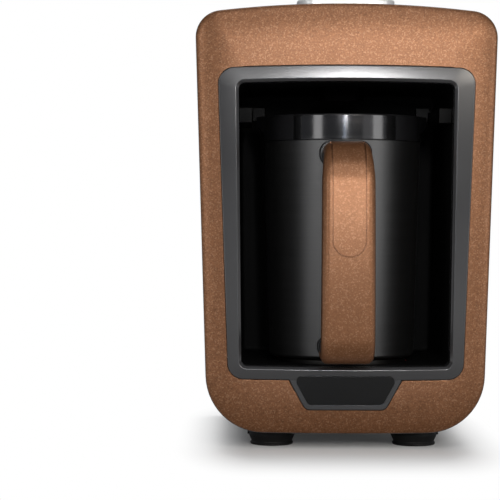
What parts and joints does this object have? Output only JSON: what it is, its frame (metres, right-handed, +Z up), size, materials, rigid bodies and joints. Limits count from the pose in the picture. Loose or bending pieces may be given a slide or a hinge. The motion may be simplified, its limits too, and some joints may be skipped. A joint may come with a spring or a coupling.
{
  "type": "electric turkish coffee maker",
  "caption": "Electric coffee maker for Turkish coffee: an arched housing with a copper-coloured front, an open bay with a concealed hot plate, and a handled steel pot that slides out.",
  "frame": {"origin": "on the surface that the feet rest on, under the middle of the object's box, handle included", "axes": "+Z up; the front, with the bay and the pot's handle, faces -Y; +X to the right seen from the front"},
  "size_m": [0.151, 0.189, 0.2276],
  "materials": {
    "copper_paint": "satin copper-coloured metallic paint with a fine sparkle",
    "copper_handle": "satin copper-coloured metallic paint with a fine sparkle",
    "charcoal": "satin charcoal moulding",
    "black_shell": "fine-grained black moulding",
    "black_satin": "satin black moulding",
    "badge_black": "smooth black, left plain",
    "silver_panel": "pale silver satin",
    "button_silver": "silver satin",
    "light_guide": "milky translucent",
    "lens_dark": "smoked clear plastic",
    "pot_steel": "satin dark steel, turned finish",
    "band_steel": "polished steel",
    "base_steel": "turned steel",
    "plate_steel": "heat-darkened steel",
    "heater_alu": "cast aluminium",
    "shield_steel": "zinc-plated sheet",
    "seal_silicone": "silicone",
    "foot_rubber": "soft black rubber",
    "screw_steel": "zinc-plated",
    "spring_steel": "spring wire",
    "board_green": "glass-fibre board",
    "parts_mixed": "component bodies",
    "terminal_green": "terminal body",
    "wire_red": "silicone-insulated lead",
    "lamp_clear": "clear lamp bodies",
    "spacer_nylon": "natural nylon",
    "fuse_ceramic": "fibre-glass sleeve"
  },
  "bodies": {
    "machine": {"housing": "black_shell", "back_cover": "black_shell", "base_plate": "black_shell", "front_frame": "copper_paint", "bezel": "charcoal", "badge_panel": "badge_black", "bay_liner": "black_satin", "pot_guides": "black_satin", "sensor_window": "lens_dark", "overflow_sensor": "board_green", "control_panel": "silver_panel", "button_ring": "light_guide", "button_spring": "spring_steel", "control_board": "board_green", "button_switch": "parts_mixed", "ring_leds": "lamp_clear", "buzzer": "parts_mixed", "hot_plate": "plate_steel", "plate_seal": "seal_silicone", "heating_element": "heater_alu", "heat_shield": "shield_steel", "plate_sensor": "heater_alu", "thermal_fuse": "fuse_ceramic", "board_spacers": "spacer_nylon", "power_board": "board_green", "power_parts": "parts_mixed", "terminal_block": "terminal_green", "wire_harness": "wire_red", "cord_gland": "foot_rubber", "suction_feet": "foot_rubber", "base_screws": "screw_steel", "back_screws": "screw_steel", "board_screws": "screw_steel", "panel_screws": "screw_steel"},
    "start_button": {"brew_button": "button_silver"},
    "pot": {"pot_vessel": "pot_steel", "pot_base": "base_steel", "pot_collar": "black_satin", "collar_bands": "band_steel", "handle_core": "black_satin", "handle_cover": "copper_handle", "handle_inlay": "copper_handle", "handle_rivets": "screw_steel"}
  },
  "joints": [
    {"name": "pot_slide", "type": "slide", "parent": "machine", "child": "pot", "axis": [0, -1, 0], "range_m": [0, 0.14]},
    {"name": "button_press", "type": "slide", "parent": "machine", "child": "start_button", "axis": [0, 0, -1], "range_m": [0, 0.0012], "stiffness_N_per_m": 400, "springref_m": -0.001, "deforming": ["button_spring"]}
  ]
}
